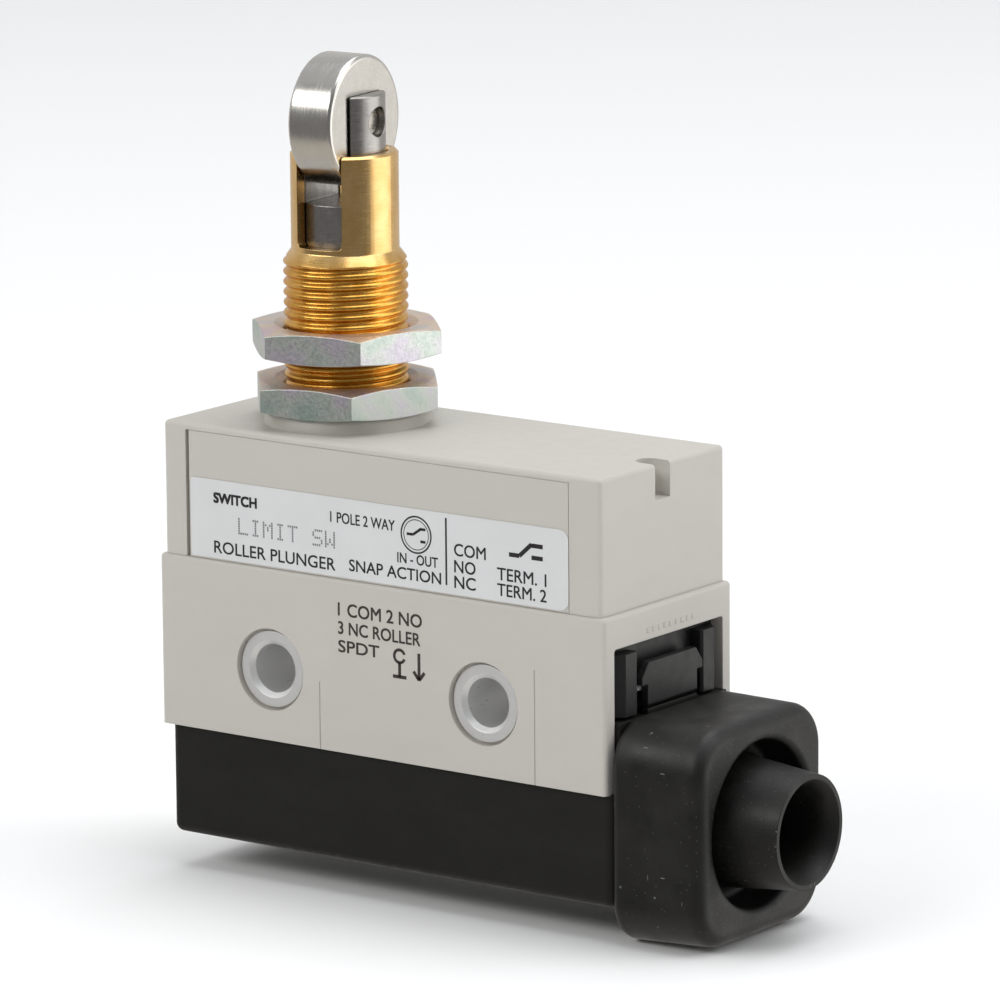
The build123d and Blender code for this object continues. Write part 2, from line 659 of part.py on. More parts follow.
WASHER_TOP = TAB_TOP - SHEET
WASHER_THICK = 0.7
WASHER_SIDE = 7.0
HEAD_TOP = WASHER_TOP - WASHER_THICK
SCREW_HEAD = (3.3, 2.2)  # radius and height
SCREW_LENGTH = 4.5
CROSS = (3.6, 0.8, 1.2)  # cross recess: length, width and depth

with BuildPart() as terminal_washers:
    with BuildSketch(Plane.XY.offset(WASHER_TOP)):
        with Locations(*[(x, 0) for x in SCREW_X]):
            RectangleRounded(WASHER_SIDE, WASHER_SIDE, 0.6)
            Circle(SCREW_R + 0.15, mode=Mode.SUBTRACT)
    extrude(amount=-WASHER_THICK)
finish(terminal_washers, "terminal_washers")

with BuildPart() as terminal_screws:
    with BuildSketch(Plane.XY.offset(HEAD_TOP)):
        with Locations(*[(x, 0) for x in SCREW_X]):
            Circle(SCREW_HEAD[0])
    extrude(amount=-SCREW_HEAD[1])
    fillet(terminal_screws.edges().group_by(Axis.Z)[0], 0.5)
    with BuildSketch(Plane.XY.offset(HEAD_TOP)):
        with Locations(*[(x, 0) for x in SCREW_X]):
            Circle(SCREW_R)
    extrude(amount=SCREW_LENGTH)
    # cross recess
    with BuildSketch(Plane.XY.offset(HEAD_TOP - SCREW_HEAD[1])):
        with Locations(*[(x, 0) for x in SCREW_X]):
            Rectangle(CROSS[0], CROSS[1])
            Rectangle(CROSS[1], CROSS[0])
    extrude(amount=CROSS[2], mode=Mode.SUBTRACT)
finish(terminal_screws, "terminal_screws")

# ---------------------------------------------------------------- latch in the window

WINDOW_BACK = LOWER_X[1] - WINDOW_DEPTH
PLATE_FRONT = WINDOW_BACK + 0.9
POST_FRONT = 26.95
POST_Z = (0.0, 6.0)
LATCH_PIN = (25.95, 2.2, 0.4)  # x, z, radius
LATCH_PIN_HALF = 6.5

with BuildPart() as latch_bracket:
    with BuildSketch(Plane.YZ.offset(WINDOW_BACK)):
        with Locations((0, (CASE_BOTTOM + WINDOW_TOP) / 2)):
            RectangleRounded(2 * WINDOW_HALF - 0.1, WINDOW_TOP - CASE_BOTTOM - 0.1, WINDOW_CORNER)
    extrude(amount=PLATE_FRONT - WINDOW_BACK)
    for side in (1, -1):
        with BuildSketch(Plane.XY.offset(POST_Z[0])):
            with BuildLine():
                Polyline(
                    (PLATE_FRONT - 0.1, side * POST_Y[0]),
                    (POST_FRONT - 0.25, side * POST_Y[0]),
                    (POST_FRONT, side * (POST_Y[0] + 0.25)),
                    (POST_FRONT, side * POST_Y[1]),
                    (PLATE_FRONT - 0.1, side * (POST_Y[1] + 1.5)),
                    close=True,
                )
            make_face()
        extrude(amount=length(POST_Z))
    # holes for the pin in the posts
    with BuildSketch(Plane.XZ.offset(-LATCH_PIN_HALF - 0.1)):
        with Locations((LATCH_PIN[0], LATCH_PIN[1])):
            Circle(LATCH_PIN[2] + 0.005)
    extrude(amount=2 * LATCH_PIN_HALF + 0.2, mode=Mode.SUBTRACT)
finish(latch_bracket, "latch_bracket")

with BuildPart() as latch_pin:
    with BuildSketch(Plane.XZ.offset(-LATCH_PIN_HALF)):
        with Locations((LATCH_PIN[0], LATCH_PIN[1])):
            Circle(LATCH_PIN[2])
    extrude(amount=2 * LATCH_PIN_HALF)
finish(latch_pin, "latch_pin")

LATCH_ROOT_Z = 0.75
LATCH_THICK = length(LATCH_X)
STEM_HALF = 4.0
EAR_HALF = 4.9
EAR_Z = (2.6, 3.3)
LATCH_TOP = (3.85, 4.7)  # half of its width there, and its height

with BuildPart() as cover_latch:
    with BuildSketch(Plane.YZ.offset(LATCH_X[0])):
        with BuildLine():
            Polyline(
                (-STEM_HALF, LATCH_ROOT_Z),
                (-STEM_HALF, EAR_Z[0]),
                (-EAR_HALF, EAR_Z[0]),
                (-EAR_HALF, EAR_Z[1]),
                (-LATCH_TOP[0], LATCH_TOP[1]),
                (LATCH_TOP[0], LATCH_TOP[1]),
                (EAR_HALF, EAR_Z[1]),
                (EAR_HALF, EAR_Z[0]),
                (STEM_HALF, EAR_Z[0]),
                (STEM_HALF, LATCH_ROOT_Z),
                close=True,
            )
        make_face()
    extrude(amount=LATCH_THICK)
    # rounded root that the tab bends about
    with BuildSketch(Plane.XZ.offset(-STEM_HALF)):
        with Locations((middle(LATCH_X), LATCH_ROOT_Z)):
            Circle(LATCH_THICK / 2)
    extrude(amount=2 * STEM_HALF)
finish(cover_latch, "cover_latch")

# ---------------------------------------------------------------- terminal cover

END_PLATE_TOP = -0.3
END_PLATE_HALF = 8.7
NECK_R = 6.0
NECK_BORE_R = 4.75
NECK_END = 31.0
END_PLATE_BACK = 25.7
COVER_FLOOR = 1.3
STEM_TOP = 0.25

with BuildPart() as terminal_cover:
    with BuildSketch(Plane.XY.offset(COVER_TOP)):
        with Locations((middle(COVER_X), 0)):
            RectangleRounded(length(COVER_X), COVER_DEPTH, 0.95)
    extrude(amount=COVER_BOTTOM - COVER_TOP)
    fillet(terminal_cover.edges().group_by(Axis.Z)[0], 0.9)
    with BuildSketch(Plane.XY.offset(COVER_TOP)):
        with Locations(((COVER_X[0] + COVER_WALL + END_PLATE_BACK) / 2, 0)):
            RectangleRounded(
                END_PLATE_BACK - COVER_X[0] - COVER_WALL, COVER_DEPTH - 2 * COVER_WALL, 0.8
            )
    extrude(amount=COVER_BOTTOM + COVER_FLOOR - COVER_TOP, mode=Mode.SUBTRACT)
    # cross rib under the gasket's end
    with BuildSketch(Plane.XY.offset(COVER_TOP)):
        with Locations((24.0, 0)):
            Rectangle(1.2, COVER_DEPTH - 2 * COVER_WALL)
    extrude(amount=-1.6)
    # end plate that rises behind the boot, and the stem of the latch
    with BuildSketch(Plane.YZ.offset(END_PLATE_BACK)):
        with Locations((0, (COVER_TOP - 1 + END_PLATE_TOP) / 2)):
            Rectangle(2 * END_PLATE_HALF, END_PLATE_TOP - COVER_TOP + 1)
    extrude(amount=COVER_X[1] - END_PLATE_BACK)
    with BuildSketch(Plane.YZ.offset(LATCH_X[0])):
        with Locations((0, (END_PLATE_TOP + STEM_TOP) / 2)):
            Rectangle(2 * STEM_HALF, STEM_TOP - END_PLATE_TOP)
    extrude(amount=LATCH_THICK)
    # neck that the boot is pushed over
    with BuildSketch(Plane.XZ):
        with BuildLine():
            Polyline(
                (COVER_X[1] - 1, CABLE_Z),
                (COVER_X[1] - 1, CABLE_Z + NECK_R),
                (NECK_END - 1.0, CABLE_Z + NECK_R),
                (NECK_END - 1.0, CABLE_Z + NECK_R + 0.8),
                (NECK_END, CABLE_Z + NECK_R + 0.2),
                (NECK_END, CABLE_Z),
                close=True,
            )
        make_face()
    revolve(axis=Axis((0, 0, CABLE_Z), (1, 0, 0)))
    with BuildSketch(Plane.YZ.offset(25.0)):
        with Locations((0, CABLE_Z)):
            Circle(NECK_BORE_R)
    extrude(amount=NECK_END - 25.0, mode=Mode.SUBTRACT)
finish(terminal_cover, "terminal_cover")

# ---------------------------------------------------------------- cable boot

RECESS_R = 8.0
RECESS_DEPTH = 4.5
SPOUT_R = (6.5, 5.5)  # outside, at its foot and at its mouth
FUNNEL_START = 40.0
FUNNEL_R = 4.1  # the mouth opens along an arc
FUNNEL_SWEEP = 41.0

with BuildPart() as cable_boot:
    for x, (depth, low, high), corner in ((BOOT_X[0], BOOT_BACK, 4.2), (BOOT_X[1], BOOT_FRONT, 4.5)):
        with BuildSketch(Plane.YZ.offset(x)):
            with Locations((0, (low + high) / 2)):
                RectangleRounded(depth, high - low, corner)
    loft()
    fillet(cable_boot.edges().group_by(Axis.X)[-1], 1.5)
    fillet(cable_boot.edges().group_by(Axis.X)[0], 0.9)
    with BuildSketch(Plane.XZ):
        with BuildLine():
            Polyline(
                (BOOT_X[1] - RECESS_DEPTH - 0.5, CABLE_Z),
                (BOOT_X[1] - RECESS_DEPTH - 0.5, CABLE_Z + SPOUT_R[0]),
                (BOOT_X[1] - RECESS_DEPTH, CABLE_Z + SPOUT_R[0]),
                (SPOUT_END, CABLE_Z + SPOUT_R[1]),
                (SPOUT_END, CABLE_Z),
                close=True,
            )
        make_face()
    revolve(axis=Axis((0, 0, CABLE_Z), (1, 0, 0)))
    # rounded recess around the spout
    with BuildSketch(Plane.XZ):
        with BuildLine():
            FilletPolyline(
                (BOOT_X[1], CABLE_Z + RECESS_R + 0.75),
                (BOOT_X[1], CABLE_Z + RECESS_R),
                (BOOT_X[1] - RECESS_DEPTH, CABLE_Z + RECESS_R),
                (BOOT_X[1] - RECESS_DEPTH, CABLE_Z + SPOUT_R[0]),
                (SPOUT_END, CABLE_Z + SPOUT_R[1]),
                radius=0.7,
            )
            Polyline(
                (SPOUT_END, CABLE_Z + SPOUT_R[1]),
                (SPOUT_END, CABLE_Z + RECESS_R + 0.75),
                (BOOT_X[1], CABLE_Z + RECESS_R + 0.75),
            )
        make_face()
    revolve(axis=Axis((0, 0, CABLE_Z), (1, 0, 0)), mode=Mode.SUBTRACT)
    # socket for the neck, cable bore and its funnel mouth
    with BuildSketch(Plane.XZ):
        with BuildLine():
            Polyline(
                (BOOT_X[0], CABLE_Z),
                (BOOT_X[0], CABLE_Z + NECK_R + 0.02),
                (NECK_END - 1.05, CABLE_Z + NECK_R + 0.02),
                (NECK_END - 1.05, CABLE_Z + NECK_R + 0.85),
                (NECK_END + 0.02, CABLE_Z + NECK_R + 0.25),
                (NECK_END + 0.02, CABLE_Z + CABLE_R),
                (FUNNEL_START, CABLE_Z + CABLE_R),
            )
            JernArc((FUNNEL_START, CABLE_Z + CABLE_R), (1, 0), FUNNEL_R, FUNNEL_SWEEP)
            mouth_r = CABLE_R + FUNNEL_R * (1 - cos(radians(FUNNEL_SWEEP)))
            Polyline(
                (FUNNEL_START + FUNNEL_R * sin(radians(FUNNEL_SWEEP)), CABLE_Z + mouth_r),
                (SPOUT_END + 0.5, CABLE_Z + mouth_r),
                (SPOUT_END + 0.5, CABLE_Z),
                (BOOT_X[0], CABLE_Z),
            )
        make_face()
    revolve(axis=Axis((0, 0, CABLE_Z), (1, 0, 0)), mode=Mode.SUBTRACT)
finish(cable_boot, "cable_boot")
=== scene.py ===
import json
import math

import bmesh
import bpy
from mathutils import Matrix, Vector


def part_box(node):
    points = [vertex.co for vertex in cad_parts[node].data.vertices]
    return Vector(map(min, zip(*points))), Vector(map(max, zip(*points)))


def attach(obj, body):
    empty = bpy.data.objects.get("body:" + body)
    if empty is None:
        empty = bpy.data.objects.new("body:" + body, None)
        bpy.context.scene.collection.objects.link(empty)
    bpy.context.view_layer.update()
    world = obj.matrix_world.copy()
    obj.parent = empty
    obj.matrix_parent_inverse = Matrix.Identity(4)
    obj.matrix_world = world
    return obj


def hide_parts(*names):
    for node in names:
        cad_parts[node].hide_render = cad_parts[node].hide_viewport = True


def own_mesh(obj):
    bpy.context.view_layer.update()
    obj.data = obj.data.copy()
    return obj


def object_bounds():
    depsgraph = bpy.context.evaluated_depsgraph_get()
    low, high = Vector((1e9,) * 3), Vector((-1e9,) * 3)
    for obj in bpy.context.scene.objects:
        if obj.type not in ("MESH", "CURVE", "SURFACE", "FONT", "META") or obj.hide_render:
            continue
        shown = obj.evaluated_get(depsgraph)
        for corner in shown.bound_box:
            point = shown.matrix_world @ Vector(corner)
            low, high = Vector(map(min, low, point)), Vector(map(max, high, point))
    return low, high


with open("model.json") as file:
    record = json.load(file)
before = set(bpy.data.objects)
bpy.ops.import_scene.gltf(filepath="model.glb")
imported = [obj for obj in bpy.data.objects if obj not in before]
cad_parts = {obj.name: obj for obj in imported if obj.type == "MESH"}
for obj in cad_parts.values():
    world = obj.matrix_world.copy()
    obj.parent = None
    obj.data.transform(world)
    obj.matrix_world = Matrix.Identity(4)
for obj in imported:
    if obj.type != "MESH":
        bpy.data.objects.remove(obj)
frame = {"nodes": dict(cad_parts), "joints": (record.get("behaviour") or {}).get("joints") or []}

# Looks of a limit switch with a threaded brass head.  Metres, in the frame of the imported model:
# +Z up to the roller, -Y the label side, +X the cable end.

CAD_LOW, CAD_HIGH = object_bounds()
NODES = frame["nodes"]
JOINTS = {joint["name"]: joint for joint in frame["joints"]}
MM = 0.001

HEAD_X = JOINTS["roller_spin"]["pos_m"][0]
ROLLER_Z = JOINTS["roller_spin"]["pos_m"][2]

# The photograph's camera: azimuth, elevation and roll in degrees, its place in millimetres along
# its own right, up and back directions, and its lens and sensor in millimetres.
CAMERA_ANGLES = (36.408, 11.813, -0.466)
CAMERA_PLACE = (5.694, 15.988, 716.67)
CAMERA_LENS, CAMERA_SENSOR = 268.55, 36

# Parts of the room that surround the object: azimuth, half width and softness of the edge.
DARK_SECTOR = (17, 78, 0.05)
PANEL_SECTOR = (124, 27, 0.06)

LIGHT_DISTANCE = 1.0
FLOOR_SIZE = 8.0
FLOOR_GAP = 0.05 * MM

# Sockets of a colour mix node, which shares its socket names between kinds of data.
MIX_FACTOR, MIX_FIRST, MIX_SECOND, MIX_RESULT = 0, 6, 7, 2


# ---------------------------------------------------------------- camera, light and floor

def look_frame(azimuth, elevation, roll):
    """Right, up and back directions of a view, angles in degrees."""
    a, e = math.radians(azimuth), math.radians(elevation)
    right = Vector((math.cos(a), math.sin(a), 0))
    back = Vector((math.sin(a) * math.cos(e), -math.cos(a) * math.cos(e), math.sin(e)))
    turn = Matrix.Rotation(math.radians(roll), 3, back)
    return turn @ right, turn @ back.cross(right), back


def matrix_from(right, up, back, place):
    turn = Matrix((right, up, back)).transposed().to_4x4()
    return Matrix.Translation(place) @ turn


def add_camera():
    right, up, back = look_frame(*CAMERA_ANGLES)
    across, above, away = CAMERA_PLACE
    place = right * across * MM + up * above * MM + back * away * MM
    data = bpy.data.cameras.new("camera")
    data.lens = CAMERA_LENS
    data.sensor_width = CAMERA_SENSOR
    data.clip_start, data.clip_end = 0.05, 20
    camera = bpy.data.objects.new("camera", data)
    camera.matrix_world = matrix_from(right, up, back, place)
    bpy.context.scene.collection.objects.link(camera)
    bpy.context.scene.camera = camera


def add_softbox(name, azimuth, elevation, size, power, colour=(1, 1, 1)):
    """A rectangular light that faces the middle of the object."""
    right, up, back = look_frame(azimuth, elevation, 0)
    middle = (CAD_LOW + CAD_HIGH) / 2
    data = bpy.data.lights.new(name, "AREA")
    data.shape = "RECTANGLE"
    data.size, data.size_y = size
    data.energy = power
    data.color = colour
    light = bpy.data.objects.new(name, data)
    light.matrix_world = matrix_from(right, up, back, middle + back * LIGHT_DISTANCE)
    bpy.context.scene.collection.objects.link(light)


def add_ramp(nodes, stops):
    """A colour ramp node; stops are pairs of a position and a colour or grey."""
    made = nodes.new("ShaderNodeValToRGB")
    ramp = made.color_ramp
    while len(ramp.elements) < len(stops):
        ramp.elements.new(0.5)
    for element, (position, colour) in zip(ramp.elements, stops):
        element.position = position
        if isinstance(colour, (int, float)):
            colour = (colour,) * 3
        element.color = (*colour, 1)
    return made


def add_world():
    """A studio room: dark where the label faces, a bright panel past the cable end, else grey."""
    world = bpy.data.worlds.new("room")
    bpy.context.scene.world = world
    world.use_nodes = True
    nodes, links = world.node_tree.nodes, world.node_tree.links
    place = nodes.new("ShaderNodeTexCoord").outputs["Generated"]
    split = nodes.new("ShaderNodeSeparateXYZ")
    links.new(place, split.inputs[0])
    height = nodes.new("ShaderNodeMapRange")
    height.inputs["From Min"].default_value = -1
    links.new(split.outputs["Z"], height.inputs["Value"])

    def sector(azimuth, half_width, softness):
        """One inside a part of the horizon, nought outside."""
        side = nodes.new("ShaderNodeVectorMath")
        side.operation = "DOT_PRODUCT"
        middle = math.radians(azimuth)
        side.inputs[1].default_value = (math.sin(middle), -math.cos(middle), 0)
        links.new(place, side.inputs[0])
        edge = math.cos(math.radians(half_width))
        inside = nodes.new("ShaderNodeMapRange")
        inside.interpolation_type = "SMOOTHSTEP"
        inside.inputs["From Min"].default_value = edge - softness
        inside.inputs["From Max"].default_value = edge + softness
        links.new(side.outputs["Value"], inside.inputs["Value"])
        return inside.outputs[0]

    def layer(mask, below, stops):
        """Greys by height, laid over what is below where the mask is one."""
        greys = add_ramp(nodes, stops)
        links.new(height.outputs[0], greys.inputs[0])
        if mask is None:
            return greys.outputs[0]
        mix = nodes.new("ShaderNodeMix")
        mix.data_type = "RGBA"
        links.new(mask, mix.inputs[MIX_FACTOR])
        links.new(below, mix.inputs[MIX_FIRST])
        links.new(greys.outputs[0], mix.inputs[MIX_SECOND])
        return mix.outputs[MIX_RESULT]

    around = layer(None, None, [
        (0.25, (0.60, 0.58, 0.56)), (0.50, (0.66, 0.64, 0.62)), (0.72, (0.62, 0.62, 0.62)),
        (0.85, (0.52, 0.53, 0.54)),
    ])
    dark = layer(sector(*DARK_SECTOR), around, [
        (0.25, (0.58, 0.55, 0.50)), (0.30, (0.22, 0.21, 0.21)), (0.84, (0.20, 0.21, 0.22)),
        (0.88, (0.26, 0.27, 0.28)), (0.93, (0.52, 0.53, 0.55)),
    ])
    panel = layer(sector(*PANEL_SECTOR), dark, [
        (0.24, (0.60, 0.58, 0.56)), (0.28, (1.90, 1.88, 1.84)), (0.60, (1.90, 1.90, 1.88)),
        (0.68, (0.60, 0.60, 0.60)),
    ])
    links.new(panel, nodes["Background"].inputs["Color"])


def add_floor():
    mesh = bpy.data.meshes.new("floor")
    corners = [(FLOOR_SIZE * x, FLOOR_SIZE * y, 0) for x, y in ((-1, -1), (1, -1), (1, 1), (-1, 1))]
    mesh.from_pydata(corners, [], [(0, 1, 2, 3)])
    floor = bpy.data.objects.new("floor", mesh)
    floor.location.z = CAD_LOW.z - FLOOR_GAP
    floor.visible_glossy = False
    bpy.context.scene.collection.objects.link(floor)
    material = bpy.data.materials.new("floor_paper")
    material.use_nodes = True
    shader = material.node_tree.nodes["Principled BSDF"]
    shader.inputs["Base Color"].default_value = (0.93, 0.93, 0.93, 1)
    shader.inputs["Roughness"].default_value = 0.9
    shader.inputs["Specular IOR Level"].default_value = 0.1
    mesh.materials.append(material)


bpy.context.scene.view_settings.view_transform = "Standard"
add_camera()
add_world()
add_floor()
add_softbox("front_box", -25, 34, size=(0.95, 0.34), power=4.25, colour=(1.0, 0.99, 0.97))
add_softbox("side_box", 112, 38, size=(0.75, 0.4), power=1.9)
add_softbox("top_box", 150, 78, size=(1.1, 0.8), power=6.0, colour=(0.97, 0.98, 1.0))


# ---------------------------------------------------------------- materials

class Surface:
    """A Principled material, with short ways to build the procedural nodes that feed it."""

    def __init__(self, name, colour, roughness, metallic=0.0, specular=0.5):
        self.material = bpy.data.materials.new(name)
        self.material.use_nodes = True
        self.tree = self.material.node_tree
        self.shader = self.tree.nodes["Principled BSDF"]
        self.set("Base Color", (*colour, 1))
        self.set("Roughness", roughness)
        self.set("Metallic", metallic)
        self.set("Specular IOR Level", specular)
        self.place = self.node("ShaderNodeTexCoord").outputs["Object"]

    def set(self, socket, value):
        self.shader.inputs[socket].default_value = value

    def node(self, kind, **settings):
        made = self.tree.nodes.new(kind)
        for key, value in settings.items():
            setattr(made, key, value)
        return made

    def link(self, source, target):
        self.tree.links.new(source, target)

    def maths(self, operation, first, second=None):
        made = self.node("ShaderNodeMath", operation=operation)
        for socket, value in zip(made.inputs, (first, second)):
            if isinstance(value, (int, float)):
                socket.default_value = value
            elif value is not None:
                self.link(value, socket)
        return made.outputs[0]

    def stretched(self, *scale):
        """The object's own coordinates, scaled per metre: one number, or one for each axis."""
        made = self.node("ShaderNodeMapping")
        made.inputs["Scale"].default_value = scale if len(scale) == 3 else scale * 3
        self.link(self.place, made.inputs["Vector"])
        return made.outputs[0]

    def turned(self, axis, centre, along, across, around):
        """Coordinates of a turned part: along its axis, out from it and around it."""
        shift = self.node("ShaderNodeVectorMath", operation="SUBTRACT")
        shift.inputs[1].default_value = centre
        self.link(self.place, shift.inputs[0])
        split = self.node("ShaderNodeSeparateXYZ")
        self.link(shift.outputs[0], split.inputs[0])
        others = [split.outputs[i] for i in range(3) if i != axis]
        squares = [self.maths("MULTIPLY", other, other) for other in others]
        radius = self.maths("SQRT", self.maths("ADD", *squares))
        angle = self.maths("ARCTAN2", *others)
        join = self.node("ShaderNodeCombineXYZ")
        self.link(self.maths("MULTIPLY", split.outputs[axis], along), join.inputs[0])
        self.link(self.maths("MULTIPLY", radius, across), join.inputs[1])
        self.link(self.maths("MULTIPLY", angle, around), join.inputs[2])
        return join.outputs[0]

    def noise(self, vector, detail=3.0, roughness=0.5):
        made = self.node("ShaderNodeTexNoise")
        made.inputs["Scale"].default_value = 1.0
        made.inputs["Detail"].default_value = detail
        made.inputs["Roughness"].default_value = roughness
        self.link(vector, made.inputs["Vector"])
        return made.outputs["Fac"]

    def ramp(self, source, *stops):
        """Colour or grey by a value: stops are (position, colour) pairs."""
        made = add_ramp(self.tree.nodes, stops)
        self.link(source, made.inputs[0])
        return made.outputs[0]

    def blend(self, source, low, high):
        """From one colour or grey to another, over the middle range of a noise."""
        return self.ramp(source, (0.3, low), (0.7, high))

    def mix(self, factor, first, second):
        """One colour over another; the second may be plain."""
        made = self.node("ShaderNodeMix", data_type="RGBA")
        self.link(factor, made.inputs[MIX_FACTOR])
        self.link(first, made.inputs[MIX_FIRST])
        if isinstance(second, tuple):
            made.inputs[MIX_SECOND].default_value = (*second, 1)
        else:
            self.link(second, made.inputs[MIX_SECOND])
        return made.outputs[MIX_RESULT]

    def bump(self, height, distance, under=None):
        made = self.node("ShaderNodeBump")
        made.inputs["Strength"].default_value = 1.0
        made.inputs["Distance"].default_value = distance
        self.link(height, made.inputs["Height"])
        if under:
            self.link(under, made.inputs["Normal"])
        return made.outputs[0]

    def soft_edges(self, radius):
        made = self.node("ShaderNodeBevel", samples=6)
        made.inputs["Radius"].default_value = radius
        return made.outputs[0]

    def feed(self, socket, source):
        self.link(source, self.shader.inputs[socket])


def moulded_plastic(name, colour, spread, roughness, grain, specular=0.5):
    """Moulded plastic: faint flow mottling, a fine eroded grain and slightly rounded edges."""
    surface = Surface(name, colour, roughness, specular=specular)
    flow = surface.noise(surface.stretched(160, 160, 420), detail=4)
    light = tuple(min(1, c * (1 + spread)) for c in colour)
    dark = tuple(c * (1 - spread) for c in colour)
    surface.feed("Base Color", surface.blend(flow, dark, light))
    patches = surface.noise(surface.stretched(900), detail=2)
    surface.feed("Roughness", surface.blend(patches, roughness - 0.05, roughness + 0.07))
    fine = surface.noise(surface.stretched(9000), detail=2, roughness=0.6)
    base = surface.soft_edges(0.12 * MM)
    surface.feed("Normal", surface.bump(fine, grain * MM, under=base))
    return surface


def turned_metal(name, axis, centre, colours, roughness, lines, edge=0.1, thread=None):
    """Metal off a lathe: fine lines around its axis, cloudy tone and a soft broken edge.

    A thread is a height and the two deeper colours painted below it, a painted shade for the light
    that bounces in the thread's grooves.
    """
    surface = Surface(name, colours[0], roughness, metallic=1.0)
    cut = surface.noise(surface.turned(axis, centre, 9000, 9000, 3), detail=4, roughness=0.65)
    cloud = surface.noise(surface.turned(axis, centre, 500, 500, 4), detail=3)
    tone = surface.blend(cloud, *colours)
    # painted shade: below the thread's top the brass is painted deeper, standing for the light that
    # bounces in the grooves
    if thread:
        top, *groove_shade_tones = thread
        split = surface.node("ShaderNodeSeparateXYZ")
        surface.link(surface.place, split.inputs[0])
        below = surface.node("ShaderNodeMapRange")
        below.inputs["From Min"].default_value = top
        below.inputs["From Max"].default_value = top - 1.5 * MM
        surface.link(split.outputs["Z"], below.inputs["Value"])
        tone = surface.mix(below.outputs[0], tone, surface.blend(cloud, *groove_shade_tones))
    surface.feed("Base Color", tone)
    surface.feed("Roughness", surface.blend(cut, roughness * 0.75, roughness * 1.35))
    surface.feed("Normal", surface.bump(cut, lines * MM, under=surface.soft_edges(edge * MM)))
    return surface


def zinc_plate(name):
    """Clear zinc plate: greenish blue sides and yellow and violet in patches, with a painted
    reflection of the brass thread: faces that look up are painted warmer.
    """
    surface = Surface(name, (0.58, 0.66, 0.66), 0.5, metallic=1.0)
    film = surface.noise(surface.stretched(260), detail=3)
    sides = surface.ramp(
        film, (0.34, (0.50, 0.61, 0.57)), (0.50, (0.64, 0.69, 0.64)), (0.64, (0.68, 0.64, 0.72))
    )
    # painted reflection: faces that look up get warm tones for the brass thread they would reflect
    upward_painted_reflection = surface.ramp(
        film, (0.34, (0.64, 0.60, 0.58)), (0.50, (0.76, 0.63, 0.50)), (0.64, (0.70, 0.57, 0.60))
    )
    split = surface.node("ShaderNodeSeparateXYZ")
    surface.link(surface.node("ShaderNodeNewGeometry").outputs["Normal"], split.inputs[0])
    # mask of the painted reflection: faces whose normal points mostly up
    upward = surface.maths("GREATER_THAN", split.outputs["Z"], 0.6)
    surface.feed("Base Color", surface.mix(upward, sides, upward_painted_reflection))
    spangle = surface.noise(surface.stretched(3600), detail=4, roughness=0.6)
    surface.feed("Roughness", surface.blend(spangle, 0.34, 0.56))
    surface.feed("Normal", surface.bump(spangle, 0.022 * MM, under=surface.soft_edges(0.14 * MM)))
    return surface


def moulded_rubber(name, roughness, dust):
    """Black rubber: soft sheen, fine grain, and a little dust and lint on its skin."""
    surface = Surface(name, (0.017, 0.017, 0.018), roughness, specular=0.40)
    cloud = surface.noise(surface.stretched(330), detail=4)
    base = surface.blend(cloud, (0.0065, 0.0065, 0.0058), (0.0115, 0.0112, 0.0100))
    if dust:
        pale = (0.30, 0.29, 0.27)
        # cells per metre, a speck's size in its cell, cells left clean, how pale the specks are
        for scale, reach, clean, strength in (
            ((1300, 1300, 1300), 0.17, 0.965, 0.32),
            ((3200, 3200, 3200), 0.24, 0.90, 0.12),
            ((420, 3400, 1700), 0.12, 0.95, 0.40),
            ((2600, 2600, 420), 0.12, 0.95, 0.35),
        ):
            cells = surface.node("ShaderNodeTexVoronoi", feature="F1")
            cells.inputs["Scale"].default_value = 1.0
            surface.link(surface.stretched(*scale), cells.inputs["Vector"])
            near = surface.maths("LESS_THAN", cells.outputs["Distance"], reach)
            pick = surface.node("ShaderNodeSeparateColor")
            surface.link(cells.outputs["Color"], pick.inputs[0])
            chosen = surface.maths("GREATER_THAN", pick.outputs[0], clean)
            speck = surface.maths("MULTIPLY", near, chosen)
            base = surface.mix(surface.maths("MULTIPLY", speck, strength), base, pale)
    surface.feed("Base Color", base)
    surface.feed("Roughness", surface.blend(cloud, roughness - 0.10, roughness + 0.06))
    fine = surface.noise(surface.stretched(4200), detail=3, roughness=0.6)
    surface.feed("Normal", surface.bump(fine, 0.016 * MM, under=surface.soft_edges(0.18 * MM)))
    return surface


def drawn_metal(name, colours, roughness, direction, metallic=1.0):
    """Rolled or drawn metal: fine lines, longest where the direction's number is low."""
    surface = Surface(name, colours[0], roughness, metallic=metallic)
    lines = surface.noise(surface.stretched(*direction), detail=4, roughness=0.6)
    surface.feed("Base Color", surface.blend(lines, *colours))
    surface.feed("Roughness", surface.blend(lines, roughness * 0.8, roughness * 1.3))
    surface.feed("Normal", surface.bump(lines, 0.002 * MM, under=surface.soft_edges(0.08 * MM)))
    return surface


def label_film():
    """Satin film of the label, a little cloudy."""
    surface = Surface("label_film", (0.66, 0.67, 0.67), 0.38, specular=0.35)
    cloud = surface.noise(surface.stretched(140), detail=3)
    surface.feed("Base Color", surface.blend(cloud, (0.66, 0.67, 0.67), (0.69, 0.70, 0.70)))
    fine = surface.noise(surface.stretched(6000), detail=2)
    surface.feed("Normal", surface.bump(fine, 0.0015 * MM))
    surface.feed("Roughness", surface.blend(fine, 0.30, 0.40))
    return surface


def printing_ink(name, colour, strength):
    """Pad-printed ink, a little uneven."""
    surface = Surface(name, colour, 0.45, specular=0.3)
    blot = surface.noise(surface.stretched(5200), detail=3)
    pale = tuple(c + (0.5 - c) * (1 - strength) for c in colour)
    surface.feed("Base Color", surface.ramp(blot, (0.35, colour), (0.75, pale)))
    return surface


